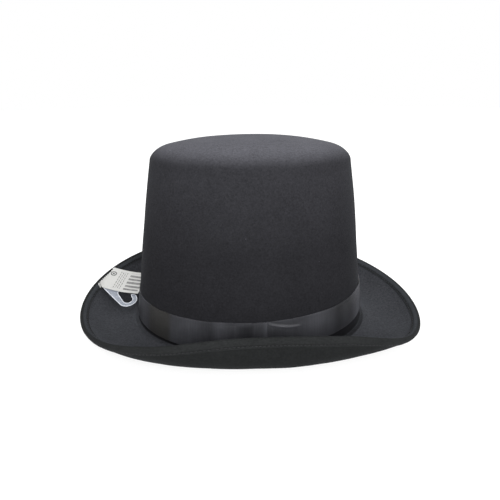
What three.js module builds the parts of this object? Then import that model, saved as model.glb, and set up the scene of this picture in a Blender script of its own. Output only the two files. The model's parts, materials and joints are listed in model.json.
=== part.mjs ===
// A top hat with a curled, wired brim, a ribbon band and a hanging tag.
// Millimetres, +Z up. +X runs along the length of the head oval, Y across it.
// The hat rests on the underside of its brim; the origin is below its middle.
import * as THREE from 'three';

// Head oval, measured on the outside of the crown where it meets the brim.
const HEAD_HALF_LENGTH = 104;
const HEAD_HALF_WIDTH = 84;
const OVAL_POWER = 2.1;

// Crown.
const CROWN_HEIGHT = 157;
const TIP_HALF_LENGTH = 85;
const CROWN_BELLY = 1.2;
const CROWN_EDGE_RADIUS = 12;
const TIP_DOME = 4;
const TIP_FLAT_FRACTION = 0.25;
const CROWN_FOOT = -1.8;
const WALL_ROWS = [30, 60, 90, 120];

// Crown layers, from the outside in.
const COVER_THICKNESS = 1.0;
const STIFFENER_THICKNESS = 1.8;
const LINING_THICKNESS = 0.5;
const LAYER_GAP = 0.3;
const LINING_FOOT = 2;
const LINING_JOIN_DROP = 2;

// Sweatband: an upright strip whose foot is folded out under the crown's edge.
const SWEATBAND_THICKNESS = 1.0;
const SWEATBAND_TOP = 30;
const SWEATBAND_FOOT_INSET = 0.5;

// Ribbon band. It rides a little higher at both ends and is tilted up at the +X end.
const BAND_WIDTH = 24;
const BAND_THICKNESS = 0.8;
const BAND_FOOT = 6;
const BAND_END_RISE = 4;
const BAND_TILT = 0.03;

// Brim: at each station around the oval, how far its edge is curled up and how wide it is.
// Stations are 30 degrees apart, counter-clockwise from the +X end.
const BRIM_CURL_DEGREES = [66, 72, 85, 99, 119, 104, 85, 65, 85, 121, 107, 61];
const BRIM_WIDTHS = [55, 56, 56, 58, 61, 61, 58, 54, 54, 51, 54, 56];
const BRIM_END_DIP_DEGREES = 18;
const BRIM_FLAT_FRACTION = 0.1;
const BRIM_ROOT_GAP = 1;
const BRIM_ROWS = [0, 0.1, 0.25, 0.4, 0.55, 0.7, 0.85, 1];
const BRIM_HALF_THICKNESS = 1.8;
const BRIM_STIFFENER_HALF = 0.8;
const BRIM_SKIN = 0.7;

// Edge binding, and the wire and its joiner inside it.
const BINDING_WIDTH = 7;
const BINDING_ROUND = 0.8;
const WIRE_RADIUS = 0.4;
const WIRE_SIDES = 6;
const WIRE_INSET = 1.9;
const STIFFENER_EDGE_INSET = 3.2;
const JOINER_LENGTH = 14;
const JOINER_BORE_RADIUS = 0.6;
const JOINER_RADIUS = 0.9;
const JOINER_SIDES = 10;

// Hanging tag: a clear strip with a hook, under a paper label, hinged on a pad near the rim.
const TAG_HINGE = new THREE.Vector3(-143.3, 30.7, 21.8);
const TAG_YAW_DEGREES = -7.5;
const TAG_PITCH_DEGREES = 10.3;
const TAG_ROLL_DEGREES = 19.8;
const STRIP_THICKNESS = 0.5;
const LABEL_THICKNESS = 0.25;
const LABEL_LENGTH = 38;
const LABEL_HALF_WIDTH = 14.8;
const LABEL_TEETH = 9;
const TOOTH_DEPTH = 0.9;
const STRIP_LENGTH = 33;
const STRIP_HALF_WIDTH = 12;
const HOOK_CENTRE = new THREE.Vector2(30.6, -22.3);
const HOOK_OUTER_RADIUS = 9;
const HOOK_INNER_RADIUS = 4.4;
const PAD_INSETS = [6.2, 3.2, 1];
const PAD_LENGTH_SHARE = 0.9;
const PAD_THICKNESS = 0.4;

// The hat is faceted into columns round the head oval.
const COLUMNS = 40;
const PAD_COLUMN = 18;
const FULL_TURN = Math.PI * 2;

const material = (color, roughness, metalness = 0) => (
  new THREE.MeshStandardMaterial({ color, roughness, metalness })
);

const FELT = 0x37363b;
const hat = new THREE.Group();

function addPiece(parent, name, geometry, pieceMaterial) {
  const mesh = new THREE.Mesh(geometry, pieceMaterial);
  mesh.name = name;
  parent.add(mesh);
}

function signedPower(value, power) {
  return Math.sign(value) * Math.abs(value) ** power;
}

// A point on an oval with the head oval's roundness.
function ovalPoint(angle, halfLength, halfWidth) {
  const power = 2 / OVAL_POWER;
  return new THREE.Vector2(
    halfLength * signedPower(Math.cos(angle), power),
    halfWidth * signedPower(Math.sin(angle), power),
  );
}

// The outward direction of the head oval at an angle.
function ovalOutward(angle) {
  const power = 2 - 2 / OVAL_POWER;
  return new THREE.Vector2(
    signedPower(Math.cos(angle), power) / HEAD_HALF_LENGTH,
    signedPower(Math.sin(angle), power) / HEAD_HALF_WIDTH,
  ).normalize();
}

// Turns the faces of a closed mesh outward.
function faceOutward(geometry) {
  const { position } = geometry.attributes;
  const { index } = geometry;
  const [a, b, c] = [new THREE.Vector3(), new THREE.Vector3(), new THREE.Vector3()];
  let volume = 0;
  for (let i = 0; i < index.count; i += 3) {
    a.fromBufferAttribute(position, index.getX(i));
    b.fromBufferAttribute(position, index.getX(i + 1));
    c.fromBufferAttribute(position, index.getX(i + 2));
    volume += a.dot(b.cross(c));
  }
  if (volume < 0) {
    for (let i = 0; i < index.count; i += 3) {
      const first = index.getX(i);
      index.setX(i, index.getX(i + 2));
      index.setX(i + 2, first);
    }
  }
  geometry.computeVertexNormals();
  return geometry;
}

// A lathe splits every patch along the same diagonal. Where the section runs back, this
// splits patches along the other one, so that the two faces of a thin layer are split alike.
function matchDiagonals(geometry, section) {
  const { index } = geometry;
  const patches = section.length - 1;
  for (let i = 0; i < index.count; i += 6) {
    const patch = (i / 6) % patches;
    if (section[patch + 1].order < section[patch].order) {
      const near = index.getX(i);
      const across = index.getX(i + 3);
      index.setX(i + 2, across);
      index.setX(i + 5, near);
    }
  }
}

// Sweeps a section round the hat. The section is a list of points of any kind, and
// place(angle, point) says where each of them is at an angle. A point's order says how far
// along its layer it is.
function sweepRound(section, place) {
  const profile = section.map((point, i) => new THREE.Vector2(1, i));
  const geometry = new THREE.LatheGeometry(profile, COLUMNS);
  matchDiagonals(geometry, section);
  const { position } = geometry.attributes;
  for (let i = 0; i < position.count; i += 1) {
    const column = Math.floor(i / section.length) % COLUMNS;
    const where = place((FULL_TURN * column) / COLUMNS, section[i % section.length]);
    position.setXYZ(i, where.x, where.y, where.z);
  }
  return faceOutward(geometry);
}

// ---- Crown ----

// How much larger the crown's half-axes are than the head oval's, at a height.
function crownFlare(height) {
  const rise = Math.max(height, 0) / (CROWN_HEIGHT - CROWN_EDGE_RADIUS);
  const taper = (TIP_HALF_LENGTH - HEAD_HALF_LENGTH) * rise;
  return taper + 4 * CROWN_BELLY * rise * (1 - rise);
}

function crownPoint(flare, z, scale = 1) {
  return { flare, z, scale, order: z };
}

// Points up the crown wall, at a depth below its outer surface.
function wallLine(depth, foot, top) {
  const between = WALL_ROWS.filter((z) => z > foot && z < top);
  return [foot, ...between, top].map((z) => crownPoint(crownFlare(z) - depth, z));
}

// Points round the crown's top edge and over its tip to the middle.
function tipLine(depth) {
  const line = [];
  const edgeFlare = TIP_HALF_LENGTH - HEAD_HALF_LENGTH - CROWN_EDGE_RADIUS;
  const edgeFoot = CROWN_HEIGHT - CROWN_EDGE_RADIUS;
  const radius = CROWN_EDGE_RADIUS - depth;
  for (const turn of [0.25, 0.5, 0.75, 1]) {
    const angle = (turn * Math.PI) / 2;
    const flare = edgeFlare + radius * Math.cos(angle);
    line.push(crownPoint(flare, edgeFoot + radius * Math.sin(angle)));
  }
  for (const scale of [0.75, 0.5, TIP_FLAT_FRACTION, 0]) {
    const reach = Math.max(scale, TIP_FLAT_FRACTION);
    const z = CROWN_HEIGHT - depth + TIP_DOME * (1 - reach * reach);
    line.push(crownPoint(edgeFlare, z, scale));
  }
  return line;
}

function placeOnCrown(angle, { flare, z, scale }) {
  const half = ovalPoint(angle, HEAD_HALF_LENGTH + flare, HEAD_HALF_WIDTH + flare);
  return new THREE.Vector3(half.x * scale, half.y * scale, z);
}

// A cap-shaped layer of the crown, open at the foot.
function crownLayer(depth, thickness) {
  const top = CROWN_HEIGHT - CROWN_EDGE_RADIUS;
  const outer = [...wallLine(depth, CROWN_FOOT, top), ...tipLine(depth)];
  const inner = [
    ...wallLine(depth + thickness, CROWN_FOOT, top),
    ...tipLine(depth + thickness),
  ];
  return sweepRound([...outer.reverse(), ...inner], placeOnCrown);
}

const STIFFENER_DEPTH = COVER_THICKNESS + LAYER_GAP;
const LINING_DEPTH = STIFFENER_DEPTH + STIFFENER_THICKNESS + LAYER_GAP;
const SWEATBAND_DEPTH = LINING_DEPTH + LINING_THICKNESS + LAYER_GAP;
const LINING_JOIN = CROWN_HEIGHT - CROWN_EDGE_RADIUS - LINING_JOIN_DROP;

function closed(line) {
  return [...line, line[0]];
}

function liningSide() {
  const outer = wallLine(LINING_DEPTH, LINING_FOOT, LINING_JOIN - LAYER_GAP);
  const inner = wallLine(LINING_DEPTH + LINING_THICKNESS, LINING_FOOT, LINING_JOIN - LAYER_GAP);
  return sweepRound(closed([...outer, ...inner.reverse()]), placeOnCrown);
}

function liningTip() {
  const rim = (depth) => crownPoint(crownFlare(LINING_JOIN) - depth, LINING_JOIN);
  const innerDepth = LINING_DEPTH + LINING_THICKNESS;
  const outer = [rim(LINING_DEPTH), ...tipLine(LINING_DEPTH)];
  const inner = [rim(innerDepth), ...tipLine(innerDepth)];
  return sweepRound([...outer.reverse(), ...inner], placeOnCrown);
}

function sweatband() {
  const inside = SWEATBAND_DEPTH + SWEATBAND_THICKNESS;
  const foldTop = CROWN_FOOT - LAYER_GAP;
  const foldFoot = foldTop - SWEATBAND_THICKNESS;
  const outer = wallLine(SWEATBAND_DEPTH, foldTop, SWEATBAND_TOP);
  const inner = wallLine(inside, foldFoot, SWEATBAND_TOP);
  const fold = [foldFoot, foldTop].map((z) => crownPoint(-SWEATBAND_FOOT_INSET, z));
  return sweepRound(closed([...outer, ...inner.reverse(), ...fold]), placeOnCrown);
}

// The band's foot rises towards both ends of the oval and is tilted along X.
function placeOnBand(angle, { rise, standOff }) {
  const base = ovalPoint(angle, HEAD_HALF_LENGTH, HEAD_HALF_WIDTH);
  const endRise = BAND_END_RISE * Math.cos(angle) ** 2;
  const z = BAND_FOOT + endRise + BAND_TILT * base.x + rise;
  return placeOnCrown(angle, crownPoint(crownFlare(z) + standOff, z));
}

function hatBand() {
  const rises = [0, BAND_WIDTH / 2, BAND_WIDTH];
  const face = (standOff) => rises.map((rise) => ({ rise, standOff, order: rise }));
  const section = [...face(LAYER_GAP + BAND_THICKNESS), ...face(LAYER_GAP).reverse()];
  return sweepRound(closed(section), placeOnBand);
}

// ---- Brim ----

const stationPoints = BRIM_CURL_DEGREES.map((curl, i) => (
  new THREE.Vector3(curl, BRIM_WIDTHS[i], 0)
));
const stations = new THREE.CatmullRomCurve3(stationPoints, true, 'catmullrom');

function brimStation(angle) {
  const { x, y } = stations.getPoint(angle / FULL_TURN);
  return { curl: THREE.MathUtils.degToRad(x), width: y };
}

// A point of the brim, a distance out along its middle surface and a distance above it.
// The brim leaves the crown straight, dipping at both ends, then curls up on one arc.
function brimPoint(angle, distance, above) {
  const { curl, width } = brimStation(angle);
  const dip = THREE.MathUtils.degToRad(BRIM_END_DIP_DEGREES) * Math.cos(angle) ** 2;
  const flat = BRIM_FLAT_FRACTION * width;
  const radius = (width - flat) / curl;
  const straight = Math.min(distance, flat);
  const slope = Math.max(distance - flat, 0) / radius - dip;
  const out = straight * Math.cos(dip) + radius * (Math.sin(slope) + Math.sin(dip));
  const up = -straight * Math.sin(dip) + radius * (Math.cos(dip) - Math.cos(slope));
  const reach = out - above * Math.sin(slope);
  const root = ovalPoint(angle, HEAD_HALF_LENGTH, HEAD_HALF_WIDTH);
  const outward = ovalOutward(angle);
  return new THREE.Vector3(
    root.x + outward.x * reach,
    root.y + outward.y * reach,
    up + above * Math.cos(slope),
  );
}

// A point of a brim section is a share of the covered part of the brim, or an inset from its
// edge, and a height above the brim's middle surface.
function placeOnBrim(angle, { share, inset, above }) {
  const { width } = brimStation(angle);
  const covered = width - BINDING_WIDTH - LAYER_GAP - BRIM_ROOT_GAP;
  const distance = share === undefined ? width - inset : BRIM_ROOT_GAP + share * covered;
  return brimPoint(angle, distance, above);
}

const coveredPoint = (share, above) => ({ share, above, order: share - BINDING_WIDTH * 2 });
const edgePoint = (inset, above) => ({ inset, above, order: -inset });

function brimLayer(low, high, edgeInset) {
  const face = (above) => {
    const rows = BRIM_ROWS.map((share) => coveredPoint(share, above));
    return edgeInset === undefined ? rows : [...rows, edgePoint(edgeInset, above)];
  };
  return sweepRound(closed([...face(low), ...face(high).reverse()]), placeOnBrim);
}

// The binding is folded over the brim's edge, open towards the crown.
function brimBinding() {
  const outside = BRIM_HALF_THICKNESS;
  const inside = BRIM_HALF_THICKNESS - BRIM_SKIN;
  const corner = outside - BINDING_ROUND;
  const flap = (tipInset, above) => (
    [BINDING_WIDTH, STIFFENER_EDGE_INSET, tipInset].map((inset) => edgePoint(inset, above))
  );
  const section = [
    ...flap(BINDING_ROUND, outside),
    edgePoint(0, corner),
    edgePoint(0, -corner),
    ...flap(BINDING_ROUND, -outside).reverse(),
    ...flap(BRIM_SKIN, -inside),
    ...flap(BRIM_SKIN, inside).reverse(),
  ];
  return sweepRound(closed(section), placeOnBrim);
}

function brimWire() {
  const section = [];
  for (let i = 0; i <= WIRE_SIDES; i += 1) {
    const turn = (FULL_TURN * (i % WIRE_SIDES)) / WIRE_SIDES;
    const inset = WIRE_INSET + WIRE_RADIUS * Math.cos(turn);
    section.push(edgePoint(inset, WIRE_RADIUS * Math.sin(turn)));
  }
  return sweepRound(section, placeOnBrim);
}

// A short sleeve round the wire's butted ends, on one straight stretch at the -X end.
function addWireJoiner(parent) {
  const column = COLUMNS / 2;
  const ends = [column, column + 1].map((c) => (
    placeOnBrim((FULL_TURN * c) / COLUMNS, { inset: WIRE_INSET, above: 0 })
  ));
  const ring = new THREE.Shape();
  ring.absarc(0, 0, JOINER_RADIUS, 0, FULL_TURN, false);
  const bore = new THREE.Path();
  bore.absarc(0, 0, JOINER_BORE_RADIUS, 0, FULL_TURN, true);
  ring.holes.push(bore);
  const sleeve = new THREE.ExtrudeGeometry(ring, {
    depth: JOINER_LENGTH,
    curveSegments: JOINER_SIDES,
    bevelEnabled: false,
  });
  sleeve.translate(0, 0, -JOINER_LENGTH / 2);
  const along = new THREE.Vector3().subVectors(ends[1], ends[0]).normalize();
  sleeve.applyQuaternion(new THREE.Quaternion().setFromUnitVectors(
    new THREE.Vector3(0, 0, 1),
    along,
  ));
  const middle = ends[0].clone().add(ends[1]).multiplyScalar(0.5);
  sleeve.translate(middle.x, middle.y, middle.z);
  addPiece(parent, 'brim_wire_joiner', sleeve, material(0x8a8d90, 0.4, 0.9));
}

// ---- Hanging tag ----

// The strip that carries the label, with an open hook at one side.
function hookOutline() {
  const { x, y } = HOOK_CENTRE;
  const outline = new THREE.Shape();
  outline.moveTo(1.5, STRIP_HALF_WIDTH);
  outline.lineTo(1.5, -STRIP_HALF_WIDTH);
  outline.lineTo(3, -15.2);
  outline.absarc(x, y, HOOK_OUTER_RADIUS, -2.13, 0.95, false);
  outline.lineTo(x + 2.6, y + 8.2);
  outline.lineTo(x - 0.4, y + 7.2);
  outline.absarc(x, y, HOOK_INNER_RADIUS, 0.95, -2.36, true);
  outline.lineTo(18, -16.4);
  outline.lineTo(18, -STRIP_HALF_WIDTH);
  outline.lineTo(STRIP_LENGTH, -STRIP_HALF_WIDTH);
  outline.lineTo(STRIP_LENGTH, STRIP_HALF_WIDTH);
  return outline;
}

// A paper rectangle whose hinge-side edge is cut in teeth.
function labelOutline() {
  const outline = new THREE.Shape();
  const pitch = (2 * LABEL_HALF_WIDTH) / LABEL_TEETH;
  outline.moveTo(LABEL_LENGTH, -LABEL_HALF_WIDTH);
  outline.lineTo(LABEL_LENGTH, LABEL_HALF_WIDTH);
  for (let i = 0; i < LABEL_TEETH; i += 1) {
    outline.lineTo(TOOTH_DEPTH, LABEL_HALF_WIDTH - i * pitch);
    outline.lineTo(0, LABEL_HALF_WIDTH - (i + 0.5) * pitch);
  }
  outline.lineTo(TOOTH_DEPTH, -LABEL_HALF_WIDTH);
  return outline;
}

function flatPiece(outline, thickness, foot) {
  const geometry = new THREE.ExtrudeGeometry(outline, {
    depth: thickness,
    curveSegments: 12,
    bevelEnabled: false,
  });
  return geometry.translate(0, 0, foot);
}

// The pad under the hinge lies on one straight stretch of the brim's edge binding.
function tagPad() {
  const geometry = new THREE.BoxGeometry(1, 1, PAD_THICKNESS, 1, PAD_INSETS.length - 1, 1);
  const { position } = geometry.attributes;
  const foot = BRIM_HALF_THICKNESS + LAYER_GAP + PAD_THICKNESS / 2;
  for (let i = 0; i < position.count; i += 1) {
    const row = Math.round((position.getY(i) + 0.5) * (PAD_INSETS.length - 1));
    const point = edgePoint(PAD_INSETS[row], foot + position.getZ(i));
    const share = 0.5 + PAD_LENGTH_SHARE * position.getX(i);
    const start = placeOnBrim((FULL_TURN * PAD_COLUMN) / COLUMNS, point);
    const end = placeOnBrim((FULL_TURN * (PAD_COLUMN + 1)) / COLUMNS, point);
    const where = start.lerp(end, share);
    position.setXYZ(i, where.x, where.y, where.z);
  }
  return faceOutward(geometry);
}

function addTag(parent) {
  const tag = new THREE.Group();
  tag.position.copy(TAG_HINGE);
  tag.rotation.set(
    THREE.MathUtils.degToRad(TAG_ROLL_DEGREES),
    THREE.MathUtils.degToRad(TAG_PITCH_DEGREES),
    THREE.MathUtils.degToRad(TAG_YAW_DEGREES),
    'ZYX',
  );
  const strip = flatPiece(hookOutline(), STRIP_THICKNESS, 0);
  const label = flatPiece(labelOutline(), LABEL_THICKNESS, STRIP_THICKNESS + LAYER_GAP);
  addPiece(tag, 'hang_hook', strip, material(0xaab0bc, 0.25));
  addPiece(tag, 'tag_label', label, material(0xe9e8e4, 0.8));
  parent.add(tag);
  addPiece(parent, 'tag_pad', tagPad(), material(0xaab0bc, 0.3));
}

function addCrown(parent) {
  addPiece(parent, 'crown_cover', crownLayer(0, COVER_THICKNESS), material(FELT, 0.95));
  const stiffener = crownLayer(STIFFENER_DEPTH, STIFFENER_THICKNESS);
  addPiece(parent, 'crown_stiffener', stiffener, material(0x2b2a2c, 0.9));
  addPiece(parent, 'lining_side', liningSide(), material(0x17171a, 0.4));
  addPiece(parent, 'lining_tip', liningTip(), material(0x17171a, 0.4));
  addPiece(parent, 'sweatband', sweatband(), material(0x1c1b1d, 0.6));
  addPiece(parent, 'hat_band', hatBand(), material(0x3a393e, 0.45));
}

function addBrim(parent) {
  const skinFoot = BRIM_HALF_THICKNESS - BRIM_SKIN;
  const upper = brimLayer(skinFoot, BRIM_HALF_THICKNESS);
  const under = brimLayer(-BRIM_HALF_THICKNESS, -skinFoot);
  const board = brimLayer(-BRIM_STIFFENER_HALF, BRIM_STIFFENER_HALF, STIFFENER_EDGE_INSET);
  addPiece(parent, 'brim_upper_cover', upper, material(FELT, 0.95));
  addPiece(parent, 'brim_stiffener', board, material(0x2b2a2c, 0.9));
  addPiece(parent, 'brim_under_cover', under, material(FELT, 0.95));
  addPiece(parent, 'brim_edge_binding', brimBinding(), material(0x3b3a3e, 0.9));
  addPiece(parent, 'brim_wire', brimWire(), material(0x6f7276, 0.4, 0.9));
  addWireJoiner(parent);
}

addCrown(hat);
addBrim(hat);
addTag(hat);

// Puts the origin on the resting plane, below the middle of the whole hat.
const bounds = new THREE.Box3().setFromObject(hat, true);
const middle = bounds.getCenter(new THREE.Vector3());
hat.position.set(-middle.x, -middle.y, -bounds.min.z);

export default hat;
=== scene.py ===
import functools
import json
import math

import bmesh
import bpy
import numpy as np
from mathutils import Euler, Matrix, Vector


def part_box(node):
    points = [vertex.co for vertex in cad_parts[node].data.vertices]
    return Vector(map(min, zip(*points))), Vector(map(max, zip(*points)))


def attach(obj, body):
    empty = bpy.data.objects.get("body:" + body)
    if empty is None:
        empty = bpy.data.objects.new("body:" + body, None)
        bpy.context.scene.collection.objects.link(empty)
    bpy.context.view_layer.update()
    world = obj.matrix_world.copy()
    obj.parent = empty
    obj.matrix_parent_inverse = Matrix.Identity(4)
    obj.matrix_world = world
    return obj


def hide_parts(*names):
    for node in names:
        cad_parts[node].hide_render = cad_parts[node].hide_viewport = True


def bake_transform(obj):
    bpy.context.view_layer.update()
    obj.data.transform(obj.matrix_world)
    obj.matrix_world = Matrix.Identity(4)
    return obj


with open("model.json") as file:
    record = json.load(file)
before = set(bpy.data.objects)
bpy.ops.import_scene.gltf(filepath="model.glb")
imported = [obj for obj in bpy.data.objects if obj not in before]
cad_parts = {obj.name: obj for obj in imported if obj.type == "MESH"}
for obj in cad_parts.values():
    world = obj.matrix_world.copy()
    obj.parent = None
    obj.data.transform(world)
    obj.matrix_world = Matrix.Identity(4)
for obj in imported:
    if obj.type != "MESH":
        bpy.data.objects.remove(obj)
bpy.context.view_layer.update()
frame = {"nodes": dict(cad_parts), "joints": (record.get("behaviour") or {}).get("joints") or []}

# The shapes below are in millimetres, from the middle of the oval where crown and brim meet.
# +X runs along the head oval, and the camera looks along +Y.
MM = 0.001
TURN = 2 * math.pi
WELD_DISTANCE = 1e-7

# Head oval and crown.
CROWN_LOW, CROWN_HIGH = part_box("crown_cover")
HEAD_HALF_LENGTH = 104
HEAD_HALF_WIDTH = 84
OVAL_POWER = 2.1
SHOULDER_HEIGHT = 155.9
TIP_HALF_LENGTH = 85
CROWN_BELLY = 1.2
CROWN_LEAN = 0.0101
CROWN_EDGE = (16.0, 11.25)
CROWN_EDGE_POWER = 2 / 1.7
CROWN_EDGE_TURN = math.radians(72)
TIP_DOME = 7.85
TIP_DOME_POWER = 2.33
CROWN_FOOT = -1.8
EDGE_FLARE = TIP_HALF_LENGTH - HEAD_HALF_LENGTH - CROWN_EDGE[0]
EDGE_FOOT = SHOULDER_HEIGHT - CROWN_EDGE[1]

# Where the shapes' own origin lies in the frame, in metres.
ORIGIN = Vector((
    (CROWN_LOW.x + CROWN_HIGH.x) / 2,
    (CROWN_LOW.y + CROWN_HIGH.y) / 2,
    CROWN_LOW.z - CROWN_FOOT * MM,
))

# Depths of the crown's layers below its outer surface.
COVER_DEPTHS = (0, 1.0)
BOARD_DEPTHS = (1.3, 3.1)
LINING_DEPTHS = (3.4, 3.9)
SWEATBAND_DEPTHS = (4.2, 5.2)
LINING_FOOT = 2
LINING_JOIN = EDGE_FOOT - 2
SWEATBAND_TOP = 30

# Ribbon band.
BAND_WIDTH = 24
BAND_FOOT = 6
BAND_END_RISE = 4
BAND_TILT = 0.03
BAND_THICKNESS = 0.5
BAND_GAP = 0.3

# Brim: how far its edge is curled up, and how wide it is, every 30 degrees from the +X end.
BRIM_CURL_DEGREES = [66, 72, 85, 99, 119, 104, 85, 65, 85, 121, 107, 61]
BRIM_WIDTHS = [55, 56, 56, 58, 61, 61, 58, 54, 54, 51, 54, 56]
BRIM_END_DIP = math.radians(18)
BRIM_FLAT_FRACTION = 0.1
BRIM_FACE = 1.8
FELT_THICKNESS = 0.7
# The direction round the hat, from +X, where the painted shade beside the crown is deepest.
PAINTED_SHADE_DEEPEST = math.radians(-40)
BOARD_FACE = 0.8
BOARD_INSET = 3.2

# Hem over the brim's edge.
HEM_WIDTH = 7
HEM_STITCH_INSET = 5.9
HEM_STITCH_HEIGHT = 2.06
HEM_STITCHES = 276

# Hanging tag, in its own frame: a from the hinge towards the crown, b across it, h above it.
TAG_ANGLES = [math.radians(degrees) for degrees in (18.6, 9.2, -8.7)]
TAG_DROOP = Vector((0.3, -0.7, -1.6)) * MM
TAG_SAG = 1.5
STRIP_START = 1.5
STRIP_HALF_WIDTH = 12
STRIP_LENGTH = 33
STRIP_HEIGHT = 0.25
HOOK_CENTRE = (30.6, -22.3)
HOOK_RADII = (4.4, 9.0)
BEAD_RADIUS = 0.5
LABEL_LENGTH = 38
LABEL_HALF_WIDTH = 14.8
LABEL_TEETH = 9
LABEL_TOOTH_DEPTH = 1.3
LABEL_HEIGHTS = (0.8, 1.05)
PAD_DEGREES = (161.8, 173.4)
PAD_INSETS = (1, 6.2)
PAD_HEIGHTS = (2.2, 2.85)
PAD_TEETH = 10
CREASE_DEGREES = (164.2, 171.6)
CREASE_SIDES = (8.5, -14.0)
CREASE_HALF_THICKNESS = 0.12
TAG = (
    Matrix.Translation(Vector(frame["joints"][0]["pos_m"]) + TAG_DROOP)
    @ Euler(TAG_ANGLES).to_matrix().to_4x4()
)


# ---- Surfaces ----

def signed_power(value, power):
    return np.sign(value) * np.abs(value) ** power


def points(x, y, z):
    """Arrays of coordinates, or single ones, as one array of points."""
    return np.stack(np.broadcast_arrays(x, y, z), axis=-1)


def oval(angle, half_length, half_width):
    x, y = (signed_power(part, 2 / OVAL_POWER) for part in (np.cos(angle), np.sin(angle)))
    return half_length * x, half_width * y


def outward(angle):
    """The head oval's outward direction at an angle."""
    power = 2 - 2 / OVAL_POWER
    x = signed_power(np.cos(angle), power) / HEAD_HALF_LENGTH
    y = signed_power(np.sin(angle), power) / HEAD_HALF_WIDTH
    length = np.hypot(x, y)
    return x / length, y / length


def around(values, angle):
    """A smooth value round the hat, from values at equal steps of angle."""
    values = np.array(values, float)
    place = (angle / TURN % 1) * len(values)
    step = np.floor(place).astype(int)
    part = place - step
    before, start, end, after = (values[(step + k) % len(values)] for k in (-1, 0, 1, 2))
    leave, arrive = (end - before) / 2, (after - start) / 2
    cubic = 2 * start - 2 * end + leave + arrive
    square = -3 * start + 3 * end - 2 * leave - arrive
    return ((cubic * part + square) * part + leave) * part + start


def window(value, low, high, soft):
    """1 between low and high, falling smoothly to 0 over the distance soft outside them."""
    rise = np.clip((value - low) / soft + 1, 0, 1)
    fall = np.clip((high - value) / soft + 1, 0, 1)
    share = np.minimum(rise, fall)
    return share * share * (3 - 2 * share)


def bump(value, centre, width):
    return np.exp(-(((value - centre) / width) ** 2))


def ripples(place, wavelength, height, seed):
    """A smooth uneven height over points. Its waves run in fixed directions."""
    total = 0
    waves = 5
    for i in range(waves):
        yaw = seed + 2.39996 * i
        tilt = math.sin(seed * 1.7 + 1.3 * i)
        flat = math.sqrt(1 - tilt * tilt * 0.8)
        direction = np.array([math.cos(yaw) * flat, math.sin(yaw) * flat, tilt])
        length = wavelength * (0.7 + 0.17 * i)
        total = total + np.sin(TURN * (place @ direction) / length + 5 * yaw)
    return height * total / math.sqrt(waves)


def crown_flare(height):
    """How much larger the crown's half-axes are than the head oval's, at a height."""
    rise = np.maximum(height, 0) / EDGE_FOOT
    taper = (TIP_HALF_LENGTH - HEAD_HALF_LENGTH) * rise
    return taper + 4 * CROWN_BELLY * rise * (1 - rise)


def on_crown(angle, flare, z, scale=1):
    x, y = oval(angle, HEAD_HALF_LENGTH + flare, HEAD_HALF_WIDTH + flare)
    return points(x * scale + CROWN_LEAN * np.maximum(z, 0), y * scale, z)


def crown_profile(depth, foot=CROWN_FOOT):
    """Flares, heights and scales from the crown's foot up, round its edge and over its tip."""
    wall = np.linspace(foot, EDGE_FOOT, 52)
    turn = np.linspace(0, CROWN_EDGE_TURN, 20)[1:]
    across, up = (radius - depth for radius in CROWN_EDGE)
    scale = np.linspace(1, 0, 24)[1:]
    edge_flare = EDGE_FLARE + across * signed_power(np.cos(turn), CROWN_EDGE_POWER)
    edge_z = EDGE_FOOT + up * signed_power(np.sin(turn), CROWN_EDGE_POWER)
    tip_flare = np.full(len(scale), edge_flare[-1])
    tip_z = edge_z[-1] + TIP_DOME * (1 - scale ** TIP_DOME_POWER)
    flare = np.concatenate([crown_flare(wall) - depth, edge_flare, tip_flare])
    z = np.concatenate([wall, edge_z, tip_z])
    return flare, z, np.concatenate([np.ones(len(wall) + len(turn)), scale])


def band_foot(angle):
    x, _ = oval(angle, HEAD_HALF_LENGTH, HEAD_HALF_WIDTH)
    return BAND_FOOT + BAND_END_RISE * np.cos(angle) ** 2 + BAND_TILT * x


def brim_dip(angle):
    return BRIM_END_DIP * np.cos(angle) ** 2


def brim_reach(angle, distance, above):
    """How far out from the head oval, and how high, a point of the brim is."""
    curl = np.radians(around(BRIM_CURL_DEGREES, angle))
    width = around(BRIM_WIDTHS, angle)
    dip = brim_dip(angle)
    flat = BRIM_FLAT_FRACTION * width
    radius = (width - flat) / curl
    straight = np.minimum(distance, flat)
    slope = np.maximum(distance - flat, 0) / radius - dip
    out = straight * np.cos(dip) + radius * (np.sin(slope) + np.sin(dip))
    up = -straight * np.sin(dip) + radius * (np.cos(dip) - np.cos(slope))
    return out - above * np.sin(slope), up + above * np.cos(slope)


def from_oval(angle, reach, z):
    x, y = oval(angle, HEAD_HALF_LENGTH, HEAD_HALF_WIDTH)
    away_x, away_y = outward(angle)
    return points(x + away_x * reach, y + away_y * reach, z)


def on_brim(angle, distance, above):
    return from_oval(angle, *brim_reach(angle, distance, above))


def on_hem(angle, inset, above):
    return on_brim(angle, around(BRIM_WIDTHS, angle) - inset, above)


def tag_sag(a):
    """The strip and its label are limp, so they hang lower between the hinge and the end."""
    return -TAG_SAG * np.sin(math.pi * np.clip(a / LABEL_LENGTH, 0, 1))


def in_tag(a, b, h):
    """Points of the tag's own frame, as millimetres in the frame of the shapes here."""
    place = points(a, b, h + tag_sag(a))
    turn = np.array(TAG.to_3x3())
    return place @ turn.T + np.array(TAG.translation - ORIGIN) / MM


# ---- Meshes ----

def columns(count):
    return np.linspace(0, TURN, count, endpoint=False)[:, None]


def lengths(line):
    """The distance along a line of points to each of them."""
    steps = np.linalg.norm(np.diff(line, axis=0), axis=1)
    return np.concatenate([[0], np.cumsum(steps)])


def put_in_scene(name, data):
    thing = bpy.data.objects.new(name, data)
    bpy.context.scene.collection.objects.link(thing)
    return thing


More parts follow.
